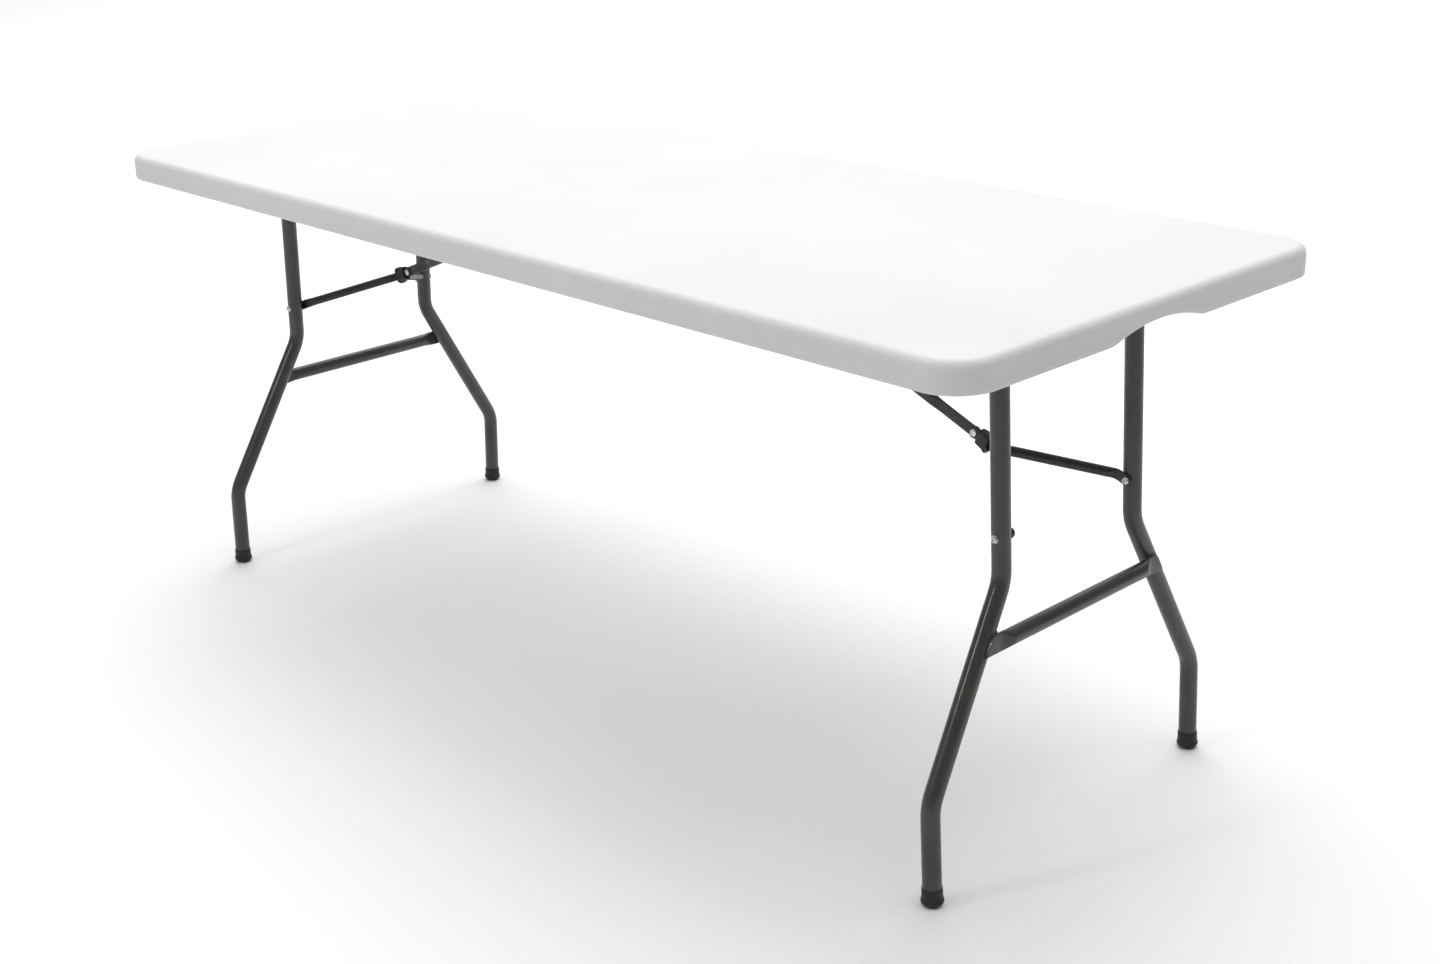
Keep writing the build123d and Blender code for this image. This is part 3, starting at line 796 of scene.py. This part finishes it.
# ---------------------------------------------------------------- braces

arm_radius = 0.007
arm_apex = 0.0356
arm_angle = math.radians(47.2)
strap_inner_y = 0.0017
strap_half = 0.0068
strap_thickness = 0.0016
lug_thickness = 0.0031
lug_gap = 0.0006
lug_outer_y = leg_upper_y - leg_radius - lug_gap
lug_inner_y = lug_outer_y - lug_thickness
stem_half_thickness = 0.0052
stem_half_height = 0.0082
stem_corner = 0.0045
stem_eye_half_thickness = 0.005
tongue_half_thickness = 0.0015


def round_end(radius, past):
    """The half height of a round end, past its centre by a distance of up to its radius."""
    return radius * math.sqrt(max(1 - (past / radius) ** 2, 0.01))


def make_arm():
    """One arm of the lower brace: strap, tube and lug in one bent tube."""
    bm = bmesh.new()
    strap_eye = 0.0082
    strap_corner = 0.0006
    eye_run = 0.006
    strap_neck = (0.032, 0.055)
    lug_eye = 0.0076
    lug_corner = 0.001
    lug_neck = (0.012, 0.034)
    bend = 0.013
    reach_share = 0.995
    strap_y = strap_inner_y + strap_thickness / 2
    lug_y = lug_outer_y - lug_thickness / 2
    corner_in = arm_apex + strap_y / math.tan(arm_angle)
    corner_out = arm_apex + lug_y / math.tan(arm_angle)
    path = rounded_path([
        (-strap_eye * reach_share, strap_y, 0),
        (corner_in, strap_y, 0),
        (corner_out, lug_y, 0),
        (yoke_length + lug_eye * reach_share, lug_y, 0),
    ], bend, 12, 0.0018)
    total = sum((b - a).length for a, b in zip(path, path[1:]))
    tube = (arm_radius,) * 3

    def size(length):
        x = length - strap_eye * reach_share
        past_lug = total - length - lug_eye * reach_share
        strap_height = strap_half
        lug_height = lug_eye
        if x < 0:
            strap_height = round_end(strap_eye, x)
        elif x < eye_run:
            strap_height = strap_eye + (strap_half - strap_eye) * smooth_step(0, eye_run, x)
        if past_lug < 0:
            lug_height = round_end(lug_eye, past_lug)
        if length < total / 2:
            return mix((strap_thickness / 2, strap_height, strap_corner), tube, smooth_step(*strap_neck, x))
        return mix((lug_thickness / 2, lug_height, lug_corner), tube, smooth_step(*lug_neck, past_lug))

    sweep(bm, path, (0, 0, 1), size)
    return bm


def make_stem():
    """The upper brace: an oval tube with a flattened tongue at the hinge and an eye at the bracket."""
    bm = bmesh.new()
    tip = 0.024
    tip_round = 0.005
    eye = 0.0073
    tongue_corner = 0.0009
    flat_corner = 0.0012
    eye_corner = 0.0016
    tongue_neck = (0.002, 0.010)
    flat_neck = (-0.082, -0.058)
    eye_neck = (-stem_length + 0.020, -stem_length + 0.044)
    hinge_part = -0.03
    tube_part = -0.2
    flat = (tongue_half_thickness, stem_half_height, flat_corner)
    tube = (stem_half_thickness, stem_half_height, stem_corner)
    end = -(stem_length + eye * 0.995)
    count = 260
    rings = []
    for i in range(count + 1):
        x = end + (tip - end) * i / count
        past = max(x - tip + tip_round, 0)
        drop = tip_round - math.sqrt(max(tip_round ** 2 - past ** 2, 0))
        tongue = (tongue_half_thickness, strap_half - drop, tongue_corner)
        eye_height = round_end(eye, x + stem_length) if x < -stem_length else eye
        eyelet = (stem_eye_half_thickness, eye_height, eye_corner)
        if x > hinge_part:
            size = mix(flat, tongue, smooth_step(*tongue_neck, x))
        elif x > tube_part:
            size = mix(tube, flat, smooth_step(*flat_neck, x))
        else:
            size = mix(eyelet, tube, smooth_step(*eye_neck, x))
        rings.append([Vector((x, u, v)) for u, v in section(*size)])
    skin(bm, rings)
    return bm


def make_lock_ring():
    """The sliding sleeve: a flat oval collar with grip ridges that flares to a grooved flange."""
    bm = bmesh.new()
    ring_start = 0.008
    bore_half_width = 0.0056
    bore_half_height = 0.0098
    bore_corner = 0.0030
    ring_wall = 0.0012
    flare = 0.0020
    flange_start = 0.016
    ridge_places = (0.0030, 0.0064, 0.0098, 0.0132)
    outer = [(0.0002, 0.0000), (0.0009, 0.0001), (ring_wall, 0.0004), (0.0013, 0.0012)]
    for ridge in ridge_places:
        wall = ring_wall + flare * ridge / flange_start
        outer += [(wall - 0.0001, ridge - 0.0009), (wall + 0.0002, ridge - 0.0005), (wall + 0.0003, ridge),
                  (wall + 0.0002, ridge + 0.0005), (wall, ridge + 0.0009)]
    outer += [(0.0031, 0.0154), (0.0034, 0.0158), (0.0041, flange_start), (0.0044, 0.0163),
              (0.0044, 0.0171), (0.0040, 0.0174), (0.0040, 0.0181), (0.0044, 0.0184), (0.0044, 0.0192),
              (0.0041, 0.0198), (0.0036, 0.0200), (0.0002, 0.0200)]
    inner = [(0.0, 0.0197), (0.0, 0.0140), (0.0, 0.0070), (0.0, 0.0003)]
    rings = []
    for margin, x in outer + inner:
        oval = section(bore_half_width + margin, bore_half_height + margin, bore_corner + margin, 20)
        rings.append([Vector((ring_start + x, u, v)) for u, v in oval])
    skin(bm, rings, closed=True)
    return bm


def lug_sleeve(bm):
    """The shank through the rear lug."""
    sunk = 0.0001
    sleeve = [(shank_radius, lug_inner_y + sunk), (shank_radius, lug_outer_y + sunk)]
    revolve(bm, sleeve, axis="Y", centre=(yoke_length, 0, 0))


def make_arm_nut():
    """The rounded nut on the inner side of a lug, built for the rear arm."""
    bm = bmesh.new()
    cap_nut(bm, (yoke_length, lug_inner_y, 0), -1)
    lug_sleeve(bm)
    return bm


def make_arm_bolt():
    """The bolt head on the inner side of the rear lug."""
    bm = bmesh.new()
    domed_head(bm, (yoke_length, lug_inner_y, 0), -1)
    lug_sleeve(bm)
    return bm


def make_hinge_bolt():
    """The low bolt head on the front strap."""
    bm = bmesh.new()
    low_head(bm, (0, -strap_inner_y - strap_thickness, 0), -1)
    return bm


def build_brace(end):
    """All pieces of one brace and its lock ring."""
    left = end == "left"

    def add(bm, name, part, material, slot, replaced, **more):
        old = [f"{node}_{end}" for node in replaced]
        finish_piece(bm, f"{name}_{end}", f"{part}_{end}", material, slot, old, brace_place, left, **more)

    # The stem and arms take the darker copy of the powder coat, which is painted shade.
    add(make_stem(), "stem", "upper_brace", brace_coat_painted_shade, "frame_steel", ["brace_stem"], sharp=50)
    add(make_lock_ring(), "ring_sleeve", "ring", black_nylon, "black_plastic", ["lock_ring"], sharp=60)
    arm_rear = make_arm()
    arm_front = make_arm()
    mirror_y(arm_front)
    add(arm_rear, "arm_rear", "lower_brace", brace_coat_painted_shade, "frame_steel", ["yoke_arm_rear"], sharp=50)
    add(arm_front, "arm_front", "lower_brace", brace_coat_painted_shade, "frame_steel", ["yoke_arm_front"], sharp=50)
    nut = make_arm_nut()
    mirror_y(nut)
    add(nut, "arm_cap_nut", "lower_brace", black_nylon, "black_plastic", ["yoke_nut_front"], sharp=60)
    add(make_arm_bolt(), "arm_bolt_head", "lower_brace", zinc, "zinc_steel", ["yoke_bolt_rear"], sharp=40)
    add(make_hinge_bolt(), "hinge_head", "lower_brace", zinc, "zinc_steel", ["hinge_bolt"], sharp=40)


# ---------------------------------------------------------------- carried-over CAD pieces

carried = {
    "side_rail_front": powder_coat,
    "side_rail_rear": powder_coat,
    "pivot_bushes": black_nylon,
    "rail_screws": zinc,
    "bracket_screws": zinc,
    "brace_bracket_right": powder_coat,
    "brace_bracket_left": powder_coat,
    "brace_pin_right": zinc,
    "brace_pin_left": zinc,
    "hinge_nut_right": zinc,
    "hinge_nut_left": zinc,
}


def dress(name, material):
    """Gives a carried-over CAD piece its material."""
    piece = nodes[name]
    piece.data.materials.clear()
    piece.data.materials.append(material)


build_tabletop()
for end in ("right", "left"):
    build_leg_frame(end)
    build_brace(end)
for name, material in carried.items():
    dress(name, material)

# ---------------------------------------------------------------- stage, light and camera


def stage_floor():
    """A plain pale floor."""
    bm = bmesh.new()
    half_size = 14
    bmesh.ops.create_grid(bm, x_segments=2, y_segments=2, size=half_size)
    mesh = bpy.data.meshes.new("floor")
    bm.to_mesh(mesh)
    bm.free()
    floor = bpy.data.objects.new("floor", mesh)
    bpy.context.scene.collection.objects.link(floor)
    material, _, shader = new_material("pale_floor")
    shader.inputs["Base Color"].default_value = (0.93, 0.93, 0.93, 1)
    shader.inputs["Roughness"].default_value = 0.7
    mesh.materials.append(material)


def area_light(name, place, target, size, power):
    """A soft square light aimed at a point."""
    light = bpy.data.lights.new(name, "AREA")
    light.shape = "SQUARE"
    light.size = size
    light.energy = power
    lamp = bpy.data.objects.new(name, light)
    lamp.location = place
    lamp.rotation_euler = (Vector(target) - Vector(place)).to_track_quat("-Z", "Y").to_euler()
    bpy.context.scene.collection.objects.link(lamp)


def studio_world(strength):
    """Even pale surroundings."""
    world = bpy.data.worlds.new("studio")
    world.use_nodes = True
    background = world.node_tree.nodes["Background"]
    background.inputs["Color"].default_value = (1, 1, 1, 1)
    background.inputs["Strength"].default_value = strength
    bpy.context.scene.world = world


def aim_camera():
    """The camera at the object's viewing angle."""
    place = Vector((2.1337, -1.9138, 1.3598))
    yaw = 0.8049
    pitch = 0.3618
    roll = -0.0220
    ahead = Vector((-math.sin(yaw) * math.cos(pitch), math.cos(yaw) * math.cos(pitch), -math.sin(pitch)))
    level = Vector((math.cos(yaw), math.sin(yaw), 0))
    up = level.cross(ahead)
    right = math.cos(roll) * level + math.sin(roll) * up
    top = -math.sin(roll) * level + math.cos(roll) * up
    data = bpy.data.cameras.new("camera")
    data.lens = 48.79
    data.sensor_width = 36
    data.clip_end = 60
    camera = bpy.data.objects.new("camera", data)
    turn = Matrix((right, top, -ahead)).transposed().to_4x4()
    camera.matrix_world = Matrix.Translation(place) @ turn
    bpy.context.scene.collection.objects.link(camera)
    bpy.context.scene.camera = camera


bpy.context.scene.view_settings.view_transform = "Standard"
stage_floor()
studio_world(strength=0.24)
area_light("overhead", place=(0.2, 0.4, 5.2), target=(0.2, 0.4, 0), size=8.0, power=300)
area_light("behind", place=(-6.0, 6.5, 6.0), target=(-6.0, 6.5, 0), size=13.0, power=860)
area_light("streak", place=(-0.7, -3.4, 2.1), target=(0.8, -0.2, 0.25), size=0.45, power=16)
aim_camera()
